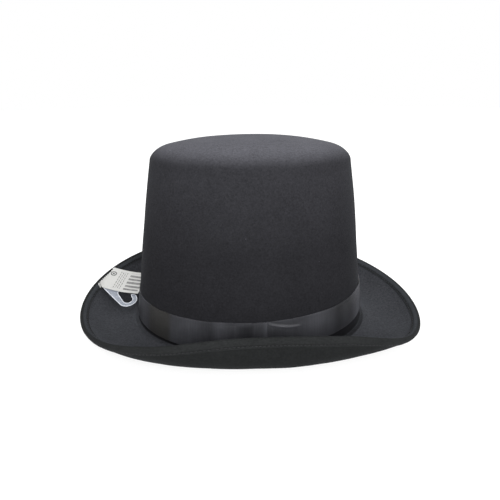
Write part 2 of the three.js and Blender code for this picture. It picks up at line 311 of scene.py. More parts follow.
def finished(name, mesh, weld=False, sharp=None):
    """A piece from a closed mesh, with its faces turned outward. Doubled points are welded,
    and edges past the angle sharp, in degrees, stay hard."""
    solid = bmesh.new()
    solid.from_mesh(mesh)
    if weld:
        bmesh.ops.remove_doubles(solid, verts=solid.verts, dist=WELD_DISTANCE)
    bmesh.ops.recalc_face_normals(solid, faces=solid.faces)
    solid.to_mesh(mesh)
    solid.free()
    mesh.shade_smooth()
    if sharp:
        mesh.set_sharp_from_angle(angle=math.radians(sharp))
    return put_in_scene(name, mesh)


def grid_faces(count, section, wrap):
    """Corners (column, point) of the quads of a grid whose sections are closed."""
    column = np.arange(count if wrap else count - 1)[:, None]
    point = np.arange(section)[None, :]
    column, point = (x.ravel() for x in np.broadcast_arrays(column, point))
    steps = [(0, 0), (1, 0), (1, 1), (0, 1)]
    return np.stack([np.stack([column + i, point + j], -1) for i, j in steps], 1)


def sweep(name, grid, wrap=True, weld=False, along=None, across=None, sharp=50):
    """A closed solid through a grid of points [column, section point], in millimetres.
    Each section is a closed line. Without wrap, both ends are closed by joining the first
    half of the section to the second. along and across are the UV map's metres."""
    count, section = grid.shape[:2]
    corners = grid_faces(count, section, wrap)
    faces = ((corners[..., 0] % count) * section + corners[..., 1] % section).tolist()
    if not wrap:
        for base in (0, (count - 1) * section):
            for i in range(section // 2 - 1):
                cap = [i, i + 1, section - 2 - i, section - 1 - i]
                faces.append([base + corner for corner in cap])
    mesh = bpy.data.meshes.new(name)
    mesh.from_pydata((grid.reshape(-1, 3) * MM + np.array(ORIGIN)).tolist(), [], faces)
    if along is not None:
        weave = mesh.uv_layers.new(name="weave")
        across = np.append(across, across[-1] if len(across) == section else [])
        uv = np.stack([along[corners[..., 0]], across[corners[..., 1]]], -1).reshape(-1, 2)
        uv = np.concatenate([uv, np.zeros((len(weave.data) - len(uv), 2))])
        weave.data.foreach_set("uv", uv.astype(np.float32).ravel())
    return finished(name, mesh, weld, sharp)


def layer(outer, inner):
    """One closed section per column, from an outer and an inner face [column, row]."""
    return np.concatenate([outer, inner[:, ::-1]], axis=1)


def mark_points(piece, name, values):
    """Keeps one number per point of a swept piece, for its material to read."""
    attribute = piece.data.attributes.new(name, "FLOAT", "POINT")
    attribute.data.foreach_set("value", values.astype(np.float32).ravel())


def lift(grid, height):
    """Moves the points of a wrapped grid along their normals."""
    across = np.roll(grid, -1, axis=0) - np.roll(grid, 1, axis=0)
    upward = np.gradient(grid, axis=1)
    normal = np.cross(across, upward)
    length = np.linalg.norm(normal, axis=-1, keepdims=True)
    return grid + np.asarray(height)[..., None] * normal / np.maximum(length, 1e-9)


def dress(piece, material, body="hat", replaced=()):
    piece.data.materials.append(material)
    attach(piece, body)
    if replaced:
        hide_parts(*replaced)
    return piece


def capsules(name, starts, ends, ups, radius, sides=6, rows=6):
    """Thread stitches: one rounded bar from each start to its end, in one object."""
    ahead = ends - starts
    reach = np.linalg.norm(ahead, axis=1, keepdims=True)
    ahead = ahead / reach
    side = np.cross(ahead, ups)
    side /= np.linalg.norm(side, axis=1, keepdims=True)
    up = np.cross(side, ahead)
    turn = np.linspace(0, math.pi, rows)
    around_bar = columns(sides)
    centre = (starts + ends) / 2
    along = -np.cos(turn)[None, :, None] * (reach / 2)[:, None]
    girth = radius * np.sqrt(np.sin(turn))[None, :, None, None]
    ring = np.cos(around_bar) * side[:, None, None] + np.sin(around_bar) * up[:, None, None]
    body = (centre[:, None] + along * ahead[:, None])[:, :, None] + girth * ring
    vertices = body.reshape(-1, 3) * MM + np.array(ORIGIN)
    corners = grid_faces(rows, sides, wrap=False)
    bar_faces = corners[..., 0] * sides + corners[..., 1] % sides
    first = np.arange(len(starts)) * rows * sides
    faces = (first[:, None, None] + bar_faces).reshape(-1, 4)
    mesh = bpy.data.meshes.new(name)
    mesh.from_pydata(vertices.tolist(), [], faces.tolist())
    return finished(name, mesh, weld=True)


# ---- Materials ----

class Surface:
    """A node material that is built up call by call."""

    def __init__(self, name, **shader):
        self.material = bpy.data.materials.new(name)
        self.material.use_nodes = True
        self.nodes = self.material.node_tree.nodes
        self.links = self.material.node_tree.links
        self.shader = self.nodes["Principled BSDF"]
        self.set(self.shader, shader)
        self.place = self.node("TexCoord").outputs["Object"]

    def set(self, node, inputs):
        for name, value in inputs.items():
            socket = node.inputs[name if isinstance(name, int) else name.replace("_", " ")]
            if isinstance(value, bpy.types.NodeSocket):
                self.links.new(value, socket)
            elif hasattr(value, "__len__") and len(value) == 3 and socket.type == "RGBA":
                socket.default_value = (*value, 1)
            else:
                socket.default_value = value

    def node(self, kind, inputs=None, **settings):
        node = self.nodes.new("ShaderNode" + kind)
        for name, value in settings.items():
            setattr(node, name, value)
        self.set(node, inputs or {})
        return node

    def math(self, operation, *values):
        """The operation on one value or two, or on more, from the first to the last."""
        if len(values) > 2:
            return functools.reduce(functools.partial(self.math, operation), values)
        inputs = dict(enumerate(values))
        return self.node("Math", inputs, operation=operation).outputs[0]

    def weighted(self, *parts):
        """The sum of values, each times its weight."""
        return self.math("ADD", *(self.math("MULTIPLY", *part) for part in parts))

    def noise(self, scale, detail=3, roughness=0.6, distortion=0, place=None, stretch=None):
        vector = place or self.place
        if stretch:
            vector = self.node("Mapping", {"Vector": vector, "Scale": stretch}).outputs[0]
        return self.node("TexNoise", {
            "Vector": vector, "Scale": scale, "Detail": detail, "Roughness": roughness,
            "Distortion": distortion,
        }).outputs["Fac"]

    def axes(self, vector):
        return self.node("SeparateXYZ", {"Vector": vector}).outputs

    def wave(self, value, pitch):
        return self.math("SINE", self.math("MULTIPLY", value, TURN / pitch))

    def mix(self, share, low, high):
        return self.node("Mix", {0: share, 6: low, 7: high}, data_type="RGBA").outputs[2]

    def between(self, factor, low, high, start=0.0, end=1.0, smooth=False):
        """low to high as factor goes from start to end, for numbers or for colours."""
        if hasattr(high, "__len__"):
            return self.mix(self.between(factor, 0.0, 1.0, start, end), low, high)
        inputs = {0: factor, 1: start, 2: end, 3: low, 4: high}
        kind = "SMOOTHSTEP" if smooth else "LINEAR"
        return self.node("MapRange", inputs, clamp=True, interpolation_type=kind).outputs[0]

    def relief(self, height, distance, strength=1.0, below=None):
        inputs = {"Height": height, "Distance": distance, "Strength": strength}
        if below:
            inputs["Normal"] = below
        return self.node("Bump", inputs).outputs[0]

    def finish(self, **shader):
        self.set(self.shader, shader)
        return self.material


def scaled(colour, factor):
    return tuple(channel * factor for channel in colour)


# Heights in metres between which the crown's colour changes: painted shade darkens its foot,
# painted light makes it paler up its wall, and paler still round its edge and over its tip.
PAINTED_SHADE_HEIGHTS = (0.013, 0.020)
PAINTED_WALL_LIGHT_HEIGHTS = (0.085, 0.142)
PAINTED_EDGE_AND_TIP_LIGHT_HEIGHTS = (0.152, 0.164)


# Painted shade darkens the crown's foot; painted light makes its wall paler with height, and its
# edge and tip paler still.
def paint_light_and_shade_by_height(s, shown, colour):
    height = s.axes(s.place)[2]
    deep = s.between(height, 1.0, 0.0, *PAINTED_SHADE_HEIGHTS)
    shown = s.between(deep, shown, scaled(colour, 0.75))
    wall = s.between(height, 1.0, 1.65, *PAINTED_WALL_LIGHT_HEIGHTS)
    edge = s.between(height, 0.0, 1.0, *PAINTED_EDGE_AND_TIP_LIGHT_HEIGHTS, smooth=True)
    paler = s.math("ADD", wall, s.math("MULTIPLY", edge, 3.7))
    return s.node("VectorMath", {0: shown, "Scale": paler}, operation="SCALE").outputs[0]


def felt(name, colour, sheen=0.02, contrast=1.0, gloss=0.03, painted_height_light=False, marked=None):
    """Pressed felt: matted fibres, a fine pile, cloudy dye and a little lint. marked names an
    attribute of the piece, and gives the tint, painted light and shade, of the felt where it is 1."""
    s = Surface(
        name, Specular_IOR_Level=gloss, Sheen_Weight=sheen, Sheen_Roughness=0.35,
        Sheen_Tint=(0.80, 0.86, 0.95),
    )
    fibres = s.noise(1500, 5, 0.75, 1.2)
    crossed = s.noise(1100, 4, 0.7, 2.0, stretch=(1, 0.35, 1.6))
    nap = s.noise(680, 3, 0.7, 0.6)
    matting = s.noise(190, 4, 0.6)
    clouds = s.noise(38, 3, 0.55)
    pile = s.weighted((fibres, 0.6), (crossed, 0.4))
    tone = s.weighted((pile, 0.35), (nap, 0.65))
    reach = 0.16 / contrast
    dyed = s.between(tone, scaled(colour, 0.45), scaled(colour, 1.6), 0.5 - reach, 0.5 + reach)
    patches = s.weighted((clouds, 0.6), (matting, 0.4))
    cloudy = s.between(patches, scaled(colour, 0.8), scaled(colour, 1.2), 0.36, 0.64)
    mixed = s.mix(0.4, dyed, cloudy)
    lint = s.node("TexVoronoi", {"Vector": s.place, "Scale": 62.0}).outputs["Distance"]
    speck = s.between(lint, 1.0, 0.0, 0.012, 0.026)
    shown = s.between(speck, mixed, scaled(colour, 4.0))
    if painted_height_light:
        shown = paint_light_and_shade_by_height(s, shown, colour)
    if marked:
        attribute, tint = marked
        share = s.node("Attribute", attribute_name=attribute).outputs["Fac"]
        tint = s.between(share, (1, 1, 1), tint)
        shown = s.node("VectorMath", {0: shown, 1: tint}, operation="MULTIPLY").outputs[0]
    return s.finish(
        Base_Color=shown,
        Roughness=s.between(pile, 0.78, 0.98, 0.3, 0.7),
        Normal=s.relief(pile, 0.0004, 0.5, s.relief(nap, 0.0006, 0.4)),
    )


def woven(name, colour, pitch, rib, gloss, depth, anisotropic=0.0, patchy=None):
    """Cloth woven along its own UV map: pitch and rib are the spacings of its threads along
    and across it, in metres, and gloss the range of its roughness. The last argument gives
    the colour of a darker, warmer patch, where its middle lies along the cloth, and how far it
    reaches; such a piece also has the attribute shade, which holds painted shade and highlights."""
    s = Surface(name, Specular_IOR_Level=0.18, Anisotropic=anisotropic)
    weave = s.node("UVMap", uv_map="weave").outputs[0]
    along, across, _ = s.axes(weave)
    threads = s.weighted((s.wave(along, pitch), 0.35), (s.wave(across, rib), 0.15))
    streaks = s.noise(1, 4, 0.65, place=weave, stretch=(900, 45, 1))
    slubs = s.noise(1, 3, 0.5, place=weave, stretch=(70, 1400, 1))
    wear = s.noise(30, 3, 0.6)
    tone = s.weighted((streaks, 0.6), (wear, 0.4), (threads, 0.12))
    height = s.weighted((threads, 1.0), (slubs, 0.3))
    shown = s.between(tone, scaled(colour, 0.72), scaled(colour, 1.3), 0.3, 0.7)
    if patchy:
        # The attribute shade holds painted shade and painted highlights.
        shade = s.node("Attribute", attribute_name="shade").outputs["Fac"]
        shade = s.between(shade, 0.35, 2.3, -1.0, 2.0)
        shown = s.node("VectorMath", {0: shown, "Scale": shade}, operation="SCALE").outputs[0]
        # A darker, warmer patch of colour along the cloth.
        dye, middle, reach = patchy
        away = s.math("ABSOLUTE", s.math("SUBTRACT", along, middle))
        near = s.between(away, 1.0, 0.0, reach * 0.7, reach)
        patch = s.math("MULTIPLY", near, s.between(wear, 0.7, 1.1))
        shown = s.between(patch, shown, dye)
    return s.finish(
        Base_Color=shown,
        Roughness=s.between(streaks, *gloss, 0.3, 0.7),
        Normal=s.relief(height, depth, 0.5),
    )


def open_weave(name, colour, pitch=0.0014):
    """Buckram: a stiffened open weave, darker between its threads."""
    s = Surface(name, Specular_IOR_Level=0.3)
    threads = s.math("MAXIMUM", *(s.wave(axis, pitch) for axis in s.axes(s.place)))
    fuzz = s.noise(900, 4, 0.7)
    tone = s.weighted((threads, 0.3), (fuzz, 1.0))
    return s.finish(
        Base_Color=s.between(tone, scaled(colour, 0.5), scaled(colour, 1.3), 0.4, 0.9),
        Roughness=s.between(fuzz, 0.75, 0.95, 0.3, 0.7),
        Normal=s.relief(tone, 0.0003, 0.6),
    )


def thread(name, colour):
    """Twisted sewing thread."""
    s = Surface(name, Specular_IOR_Level=0.2, Sheen_Weight=0.05)
    ply = s.noise(2600, 2, 0.5, stretch=(1, 0.4, 1.8))
    return s.finish(
        Base_Color=s.between(ply, scaled(colour, 0.6), scaled(colour, 1.5), 0.35, 0.65),
        Roughness=s.between(ply, 0.45, 0.7, 0.3, 0.7),
        Normal=s.relief(ply, 0.0002, 0.5),
    )


def steel(name, colour):
    """Drawn wire, with fine lines and dull patches."""
    s = Surface(name, Metallic=0.95, Anisotropic=0.5)
    lines = s.noise(700, 4, 0.7, stretch=(1, 1, 5))
    dull = s.noise(120, 3, 0.6)
    return s.finish(
        Base_Color=s.between(dull, scaled(colour, 0.7), scaled(colour, 1.1), 0.35, 0.65),
        Roughness=s.between(lines, 0.28, 0.5, 0.3, 0.7),
        Normal=s.relief(lines, 0.0001, 0.3),
    )


def clear_plastic(name, colour):
    """Moulded clear plastic that has gone milky, with flow lines and handling marks."""
    s = Surface(
        name, Transmission_Weight=0.2, IOR=1.49, Coat_Weight=0.4, Coat_Roughness=0.12,
        Specular_IOR_Level=0.6,
    )
    flow = s.noise(160, 3, 0.55, 1.5, stretch=(1, 2.2, 1))
    marks = s.noise(2200, 4, 0.7)
    return s.finish(
        Base_Color=s.between(flow, scaled(colour, 0.85), scaled(colour, 1.15), 0.3, 0.7),
        Roughness=s.between(marks, 0.16, 0.34, 0.35, 0.65),
        Normal=s.relief(flow, 0.0002, 0.35),
    )


# The label's plain marks, in millimetres along (a) and across (b) the tag.
RING_CENTRE = (4.2, 6.8)
RING_RADII = (1.9, 3.1)
RING_DOT_RADIUS = 1.1
DASHES_A = (10.5, 18.9)
DASHES_B = (-11.5, 12.0)
DASH_ROW_PITCH = 2.1
DASH_ROW_SHIFT = 1.37
DASH_PITCH = 3.7
STRIPES_A = (21.0, 36.0)
STRIPES_B = (-11.6, 12.4)
STRIPE_PITCH = 4.8


def printed_paper(name, colour, ink):
    """Label card with plain marks: a ring, rows of dashes and even stripes."""
    s = Surface(name, Specular_IOR_Level=0.35)
    flat = s.node("UVMap", uv_map="weave").outputs[0]
    a, b = (s.math("MULTIPLY", axis, 1 / MM) for axis in s.axes(flat)[:2])

    def inside(value, low, high):
        above = s.math("GREATER_THAN", value, low)
        return s.math("MULTIPLY", above, s.math("LESS_THAN", value, high))

    def repeat(value, pitch, offset, share):
        part = s.math("FRACT", s.math("DIVIDE", s.math("ADD", value, offset), pitch))
        return s.math("LESS_THAN", part, share)

    offsets = [s.math("SUBTRACT", value, middle) for value, middle in zip((a, b), RING_CENTRE)]
    squares = [s.math("MULTIPLY", value, value) for value in offsets]
    distance = s.math("SQRT", s.math("ADD", *squares))
    dot = s.math("LESS_THAN", distance, RING_DOT_RADIUS)
    ring = s.math("MAXIMUM", inside(distance, *RING_RADII), dot)
    row = s.math("FLOOR", s.math("DIVIDE", a, DASH_ROW_PITCH))
    shifted = s.math("ADD", b, s.math("MULTIPLY", row, DASH_ROW_SHIFT))
    dashes = s.math(
        "MULTIPLY", inside(a, *DASHES_A), inside(b, *DASHES_B),
        repeat(a, DASH_ROW_PITCH, 0, 0.36), repeat(shifted, DASH_PITCH, 20, 0.72), 0.85,
    )
    stripes = s.math(
        "MULTIPLY", inside(a, *STRIPES_A), inside(b, *STRIPES_B),
        repeat(b, STRIPE_PITCH, 21.4, 0.56), 0.8,
    )
    patchy = s.noise(260, 3, 0.6)
    marks = s.math("MAXIMUM", ring, dashes, stripes)
    inked = s.math("MULTIPLY", marks, s.between(patchy, 0.65, 1.0, 0.35, 0.65))
    fibres = s.noise(900, 5, 0.7, 0.8)
    paper = s.between(fibres, scaled(colour, 0.9), scaled(colour, 1.05), 0.3, 0.7)
    return s.finish(
        Base_Color=s.between(inked, paper, ink),
        Roughness=s.between(fibres, 0.55, 0.75, 0.3, 0.7),
        Normal=s.relief(fibres, 0.00015, 0.35),
    )


def studio_floor(name, colour):
    """A light table's pale top, which keeps the shadow under the hat thin."""
    s = Surface(name, Specular_IOR_Level=0.1, Emission_Color=colour, Emission_Strength=2.0)
    grain = s.noise(90, 4, 0.6)
    return s.finish(
        Base_Color=s.between(grain, scaled(colour, 0.985), colour, 0.3, 0.7),
        Roughness=s.between(grain, 0.85, 0.95, 0.3, 0.7),
    )


# The crown's felt takes painted shade at its foot and painted light up its wall and over its tip.
CROWN_FELT = felt("crown_felt", (0.0105, 0.0105, 0.0120), painted_height_light=True)
# The brim's felt takes painted shade beside the crown, where its attribute crease is 1.
BRIM_FELT = felt(
    "brim_felt", (0.0263, 0.0274, 0.0312), sheen=0.07, contrast=1.6, gloss=0.05,
    marked=("crease", (0.28, 0.28, 0.28)),
)
# The crown, brim and under felts are one black felt in lit and shaded copies: the brim's upper
# felt is painted lighter, as top light, and this under felt is painted darker, as shade.
UNDER_FELT = felt("under_felt", (0.0088, 0.0093, 0.0095))
# The hem's felt is painted lighter on its upper side, as top light, with painted shade at its
# edges and in its groove.
HEM_FELT = felt(
    "hem_felt", (0.0120, 0.0126, 0.0129), marked=("lit_top_shaded_groove", (2.25, 2.3, 2.5)),
)
BUCKRAM = open_weave("buckram", (0.022, 0.021, 0.020))
RIBBON = woven(
    "ribbon_satin", (0.0252, 0.0256, 0.0292), 0.0009, 0.0005, (0.32, 0.45), 0.00025,
    anisotropic=0.3, patchy=((0.0207, 0.0199, 0.0187), 0.500, 0.015),
)
SWEATBAND = woven("sweatband_rep", (0.014, 0.014, 0.016), 0.0013, 0.0005, (0.5, 0.7), 0.0005)
LINING = woven(
    "lining_satin", (0.010, 0.010, 0.012), 0.0004, 0.0004, (0.24, 0.38), 0.0001, anisotropic=0.4,
)
THREAD = thread("black_thread", (0.0115, 0.0115, 0.013))
STEEL = steel("drawn_wire", (0.50, 0.51, 0.53))
PLASTIC = clear_plastic("milky_plastic", (0.190, 0.208, 0.245))
# The bead is the hook's milky plastic; its much lighter colour is partly the thicker rim's
# milkiness and partly a painted highlight along the rim.
BEAD = clear_plastic("milky_bead", (0.58, 0.60, 0.64))
PAPER = printed_paper("label_card", (0.355, 0.355, 0.345), (0.02, 0.02, 0.024))


# ---- Crown ----

def crown_layer(name, depths, count, unevenness, foot=CROWN_FOOT):
    angle = columns(count)
    faces = []
    for depth in depths:
        flare, z, scale = crown_profile(depth, foot)
        face = on_crown(angle, flare[None], z[None], scale[None])
        uneven = ripples(face, 74, unevenness, 0.8) + ripples(face, 31, unevenness / 3, 2.1)
        faces.append(lift(face, uneven * window(z, 24, SHOULDER_HEIGHT - 1, 22)[None]))
    return sweep(name, layer(*faces), weld=True)


def make_crown():
    cover = dress(
        crown_layer("crown_felt", COVER_DEPTHS, 300, 0.16),
        CROWN_FELT, replaced=["crown_cover"],
    )
    dress(
        crown_layer("crown_board", BOARD_DEPTHS, 160, 0),
        BUCKRAM, replaced=["crown_stiffener"],
    )


def lining_side():
    """Satin gathered lightly at its foot and at the tip seam, glued flat behind the sweatband."""
    angle = columns(640)
    z = np.linspace(LINING_FOOT, LINING_JOIN - 0.3, 46)[None]
    drift = 0.5 * np.sin(z / 33 + 3 * angle) + 0.35 * np.sin(5 * angle)
    folds = np.sin(46 * angle + drift * 2) * 0.5 + 0.5
    folds = folds ** 2 * (0.7 + 0.3 * np.sin(7 * angle + z / 60))
    free = window(z, SWEATBAND_TOP + 14, LINING_JOIN - 9, 18)
    inward = 0.15 + 1.3 * folds * (0.25 + 0.75 * free) * window(z, SWEATBAND_TOP + 4, 200, 8)
    flare = crown_flare(z) - LINING_DEPTHS[0] - inward + 0.15
    thickness = LINING_DEPTHS[1] - LINING_DEPTHS[0]
    outer = on_crown(angle, flare, z)
    inner = on_crown(angle, flare - thickness, z)
    line = outer[:, 20]
    along = lengths(np.concatenate([line, line[:1]])) * MM
    across = np.concatenate([z[0], z[0, ::-1]]) * MM
    return sweep("lining_wall", layer(outer, inner), along=along, across=across)


def lining_tip():
    """The panel over the head, radially gathered at its seam and sagging a little."""
    angle = columns(256)
    faces = []
    for depth in LINING_DEPTHS:
        flare, z, scale = crown_profile(depth, LINING_JOIN)
        puckers = np.sin(52 * angle + np.sin(6 * angle)) * bump(scale[None], 0.9, 0.2)
        sag = 1.6 * (1 - scale[None] ** 2) + 0.35 * (puckers + 1)
        faces.append(on_crown(angle, flare[None], z[None] - sag, scale[None]))
    turns = np.linspace(0, 0.5, len(angle) + 1)
    depth_along = np.linspace(0, 0.1, faces[0].shape[1])
    across = np.concatenate([depth_along, depth_along[::-1]])
    return sweep("lining_tip_panel", layer(*faces), weld=True, along=turns, across=across)


def lining_seam():
    """A covered cord round the seam between the lining's side and tip."""
    angle = columns(200)
    turn = np.linspace(0, TURN, 10, endpoint=False)[None]
    flare = crown_flare(LINING_JOIN) - LINING_DEPTHS[1] - 0.9
    grid = on_crown(angle, flare + 0.8 * np.cos(turn), LINING_JOIN + 0.8 * np.sin(turn))
    along = np.linspace(0, 0.5, len(angle) + 1)
    across = np.linspace(0, 0.005, turn.size + 1)
    return sweep("lining_seam_cord", grid, along=along, across=across)


def sweatband():
    """Grosgrain, standing inside the crown, with its foot turned out under the crown's edge."""
    angle = columns(400)
    z = np.linspace(-1.6, SWEATBAND_TOP, 22)
    wave = 0.28 * np.sin(9 * angle + 1) + 0.18 * np.sin(23 * angle)
    standing = np.clip(z / SWEATBAND_TOP, 0, 1)[None] ** 2
    depth = SWEATBAND_DEPTHS[0] + 0.35 * standing + (wave + 0.3) * standing
    thickness = 0.75 + 0.35 * bump(z, SWEATBAND_TOP - 0.6, 0.7)[None]
    back = on_crown(angle, crown_flare(z)[None] - depth, z[None])
    front = on_crown(angle, crown_flare(z)[None] - depth - thickness, z[None])
    bend = np.linspace(0.1, 1, 6)[None]
    reach = -SWEATBAND_DEPTHS[0] + (SWEATBAND_DEPTHS[0] + 0.9) * bend
    fold_top = -2.1 - 0.9 * np.sin(np.maximum(reach, 0) * 0.4)
    top_face = on_crown(angle, reach, fold_top)
    under_face = on_crown(angle, reach - 0.3 * (1 - bend), fold_top - 0.85)
    section = np.concatenate([top_face[:, ::-1], back, front[:, ::-1], under_face], axis=1)
    line = front[:, 10]
    along = lengths(np.concatenate([line, line[:1]])) * MM
    across = lengths(section[0]) * MM
    return sweep("sweatband_rep", section, along=along, across=across)


def sweatband_stitches():
    count = 190
    angle = np.linspace(0, TURN, count, endpoint=False)
    step = TURN / count
    lines = [on_crown(angle + shift * step, 0.1, -3.02) for shift in (0.15, 0.8)]
    ups = np.tile([0.0, 0.0, 1.0], (count, 1))
    return capsules("sweatband_stitches", *lines, ups, 0.22)


def make_inside():
    wall = dress(lining_side(), LINING, replaced=["lining_side"])
    tip = dress(lining_tip(), LINING, replaced=["lining_tip"])
    cord = dress(lining_seam(), LINING)
    rep = dress(sweatband(), SWEATBAND, replaced=["sweatband"])
    stitches = dress(sweatband_stitches(), THREAD)


# ---- Ribbon band ----

JOIN_ANGLE = math.radians(272)
JOIN_OVERLAP = math.radians(5)

# Painted highlights and shade on the satin: the distance from one of the ribbon's ends, how far
# the streak reaches, and its painted shade. The upper end is the one that laps over the other.
PAINTED_STREAKS_FROM_UPPER_END = [
    (1, 1.4, 0.6), (7, 3.5, -0.25), (27, 5, -0.1), (37, 5, 0.5), (46, 7, -0.28), (63, 10, 0.55),
    (122, 8, 0.5),
]
PAINTED_STREAKS_FROM_LOWER_END = [(51, 10, 0.65), (80, 17, -0.75), (112, 10, 1.6)]


def painted_streak_shade(distance, shades):
    return sum(shade * bump(distance, place, reach) for place, reach, shade in shades)


def ribbon_relief(s, rise, total):
    """How far the ribbon stands off the crown, and its painted shade and highlights, 0 where it
    is plain: s is the distance along it from its lower end, and total its length."""
    share = rise / BAND_WIDTH
    left = total - s
    belly = 0.35 * np.sin(math.pi * share)
    swell = 0.16 * np.sin(s / 11 + 2 * share) + 0.12 * np.sin(s / 6.3 - 3 * share)
    line = 17.4 + 0.0077 * (36 - s) ** 2
    along_line = window(s, 14, 33, 6)
    lip = along_line * bump(rise, line, 0.75)
    dent = along_line * bump(rise, line + 2.0, 1.3)
    tuck = window(left, 14, 21, 4) * window(rise, 6, 19.5, 2.6)
    pleats = 0.35 * bump(left, 1.4, 0.9) + 0.3 * bump(left, 5.2, 1.2) + 0.25 * bump(s, 13, 1.4)
    bend = 0.4 * bump(left, 96, 7) + 0.45 * bump(s, 118, 6) + 0.3 * bump(left, 118, 6)
    climb = (BAND_THICKNESS + 0.25) * window(left, -5, 10, 3)
    relief = belly + swell * (0.35 + share) + 0.55 * lip - 0.6 * dent - 0.6 * tuck
    # Painted light: highlights on the fold's lip and along the top edge, shade in the dent, the
    # tuck
    # and below the lip, painted streaks, and a painted gradient lighter at the foot and darker at
    # the top.
    shade = (
        0.9 * lip - 0.25 * dent - 0.5 * tuck - 0.35 * bump(s, 19, 9) * window(rise, 0, 16, 3)
        + painted_streak_shade(left, PAINTED_STREAKS_FROM_UPPER_END) + painted_streak_shade(s, PAINTED_STREAKS_FROM_LOWER_END)
        + 0.35 * bump(rise, 23.2, 0.7) + 0.3 - 0.5 * share
        + 0.12 * np.sin(s / 4.1 + 2 * np.sin(s / 13))
    )
    return relief + pleats + bend * share + climb, shade


def make_ribbon():
    angle = np.linspace(JOIN_ANGLE, JOIN_ANGLE + TURN + JOIN_OVERLAP, 900)[:, None]
    rise = np.linspace(0, BAND_WIDTH, 33)[None]
    foot = band_foot(angle)
    middle_z = foot + BAND_WIDTH / 2
    middle = on_crown(angle, crown_flare(middle_z), middle_z)[:, 0]
    s = lengths(middle)[:, None]
    relief, shade = ribbon_relief(s, rise, s[-1])
    relief = np.maximum(relief, 0)
    selvedge = 0.14 * (bump(rise, 0.5, 0.45) + bump(rise, BAND_WIDTH - 0.5, 0.45))
    top_wander = 0.25 * np.sin(s / 17) * bump(rise, BAND_WIDTH, 6)
    foot_wander = 0.3 * np.sin(s / 23) * bump(rise, 0, 6)
    z = foot + rise + top_wander + foot_wander
    stand_off = BAND_GAP - 0.1 + relief
    inner = on_crown(angle, crown_flare(z) + stand_off - selvedge / 2, z)
    outer = on_crown(angle, crown_flare(z) + stand_off + BAND_THICKNESS + selvedge, z)
    across = np.concatenate([rise[0], rise[0, ::-1]]) * MM
    band = sweep("ribbon_band", layer(outer, inner), wrap=False, along=s[:, 0] * MM, across=across)
    # The painted shade and highlights go to the ribbon's material as the attribute shade.
    mark_points(band, "shade", np.concatenate([shade, shade[:, ::-1]], axis=1))
    dress(band, RIBBON, replaced=["hat_band"])


# ---- Brim ----

def make_brim():
    angle = columns(480)
    width = around(BRIM_WIDTHS, angle)
    rows = np.linspace(0, 1, 40)[None] ** 1.3

    def face(start, inset, above):
        distance = start + rows * (width - inset - start)
        place = on_brim(angle, distance, above)
        uneven = ripples(place, 47, 0.14, 3.3) + ripples(place, 19, 0.05, 1.1)
        return lift(place, uneven * window(rows, 0.15, 0.8, 0.12))

    # The upper felt turns up against the crown's wall behind the ribbon.
    bend = np.linspace(0, 1, 8)[None, :-1]
    corner = BRIM_FACE / np.cos(brim_dip(angle))
    wall_reach, wall_top, meets = 0.2, 3.2, 2.2
    out, up = brim_reach(angle, meets, BRIM_FACE)
    weights = [(1 - bend) ** 2, 2 * bend * (1 - bend), bend ** 2]
    reach = weights[0] * wall_reach + weights[1] * wall_reach + weights[2] * out
    height = weights[0] * wall_top + weights[1] * corner + weights[2] * up
    fillet = from_oval(angle, reach, height)
    top = np.concatenate([fillet, face(meets, HEM_WIDTH - 1, BRIM_FACE)], axis=1)
    below = face(1.0, HEM_WIDTH - 1, BRIM_FACE - FELT_THICKNESS)
    upper = sweep("brim_upper_felt", layer(top, below))

    # Painted shade darkens the felt up the crown's wall and in a narrow ring beside it, where the
    # ribbon and the crown shade it, most of all towards the front right.
    from_wall = meets + rows * (width - HEM_WIDTH + 1 - meets)
    deepest = np.maximum(np.cos(angle - PAINTED_SHADE_DEEPEST), 0) ** 2
    painted_shade_end = 1.8 + 0.5 * deepest
    crease = np.zeros(top.shape[:2])
    crease[:, :bend.size] = 0.3 + 0.55 * deepest
    crease[:, bend.size:] = window(from_wall, 0, painted_shade_end, 0.9) * (0.75 + 0.25 * deepest)
    mark_points(upper, "crease", np.concatenate([crease, np.zeros(below.shape[:2])], axis=1))
    under_out = face(0.15, HEM_WIDTH - 1, -BRIM_FACE)
    under_in = face(0.15, HEM_WIDTH - 1, FELT_THICKNESS - BRIM_FACE)
    under = sweep("brim_under_felt", layer(under_in, under_out))
    across_board = 1.0 + rows * (width - BOARD_INSET - 1.0)
    board_faces = [on_brim(angle, across_board, above) for above in (BOARD_FACE, -BOARD_FACE)]
    board = sweep("brim_board", layer(*board_faces))
    dress(upper, BRIM_FELT, replaced=["brim_upper_cover"])
    dress(under, UNDER_FELT, replaced=["brim_under_cover"])
    dress(board, BUCKRAM, replaced=["brim_stiffener"])


# The hem's outer surface: inset from the brim's edge, and height above the brim's middle.
HEM_PROFILE = [
    (7.35, 1.75), (7.3, 2.1), (7.05, 2.35), (6.7, 2.42), (6.35, 2.3), (6.1, 2.0),
    (HEM_STITCH_INSET, 1.9), (5.7, 2.0), (5.4, 2.25), (4.9, 2.42), (4.2, 2.48), (3.4, 2.42),
    (2.6, 2.25), (1.8, 1.95),
]
HEM_INSIDE = 1.1


def hem_section():
    """The closed section of the hem: over the top, round the edge, back below, and inside."""
    turn = np.radians(np.linspace(70, -70, 9))
    edge = [(1.5 * (1 - math.cos(x)), 1.72 * math.sin(x) / math.sin(turn[0])) for x in turn]
    outside = HEM_PROFILE + edge + [(inset, -above) for inset, above in HEM_PROFILE[::-1]]
    inside = [(inset, -HEM_INSIDE) for inset in (7.3, 5, 3, 1.6)]
    inside += [(0.8, -0.5), (0.8, 0.5)]
    inside += [(inset, HEM_INSIDE) for inset in (1.6, 3, 5, 7.3)]
    return np.array(outside + inside).T[:, None]


